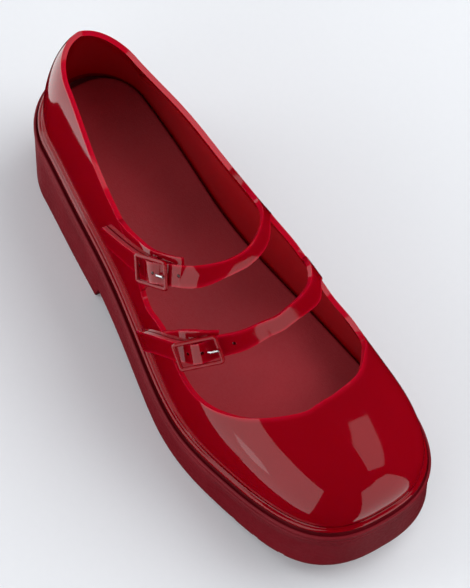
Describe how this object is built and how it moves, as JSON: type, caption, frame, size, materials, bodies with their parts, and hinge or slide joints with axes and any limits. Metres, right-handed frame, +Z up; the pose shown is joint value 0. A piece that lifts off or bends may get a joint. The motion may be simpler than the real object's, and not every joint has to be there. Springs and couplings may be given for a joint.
{
  "type": "platform mary jane shoe",
  "caption": "Right shoe: glossy moulded plastic mary jane with two buckled instep straps on a thick matte platform sole with a block heel.",
  "frame": {"origin": "middle of the heel's flat underside, on the ground", "axes": "+X from heel to toe, +Y to the medial side (the wearer's left), +Z up"},
  "size_m": [0.2656, 0.0968, 0.1167],
  "materials": {
    "matte_pvc": "matte",
    "gloss_pvc": "high gloss",
    "insole_pvc": "matte",
    "prong_metal": "polished"
  },
  "bodies": {
    "root": {"sole": "matte_pvc", "upper": "gloss_pvc", "insole": "insole_pvc", "buckle_frame_rear": "gloss_pvc", "buckle_frame_front": "gloss_pvc", "buckle_prong_rear": "prong_metal", "buckle_prong_front": "prong_metal"}
  },
  "joints": []
}
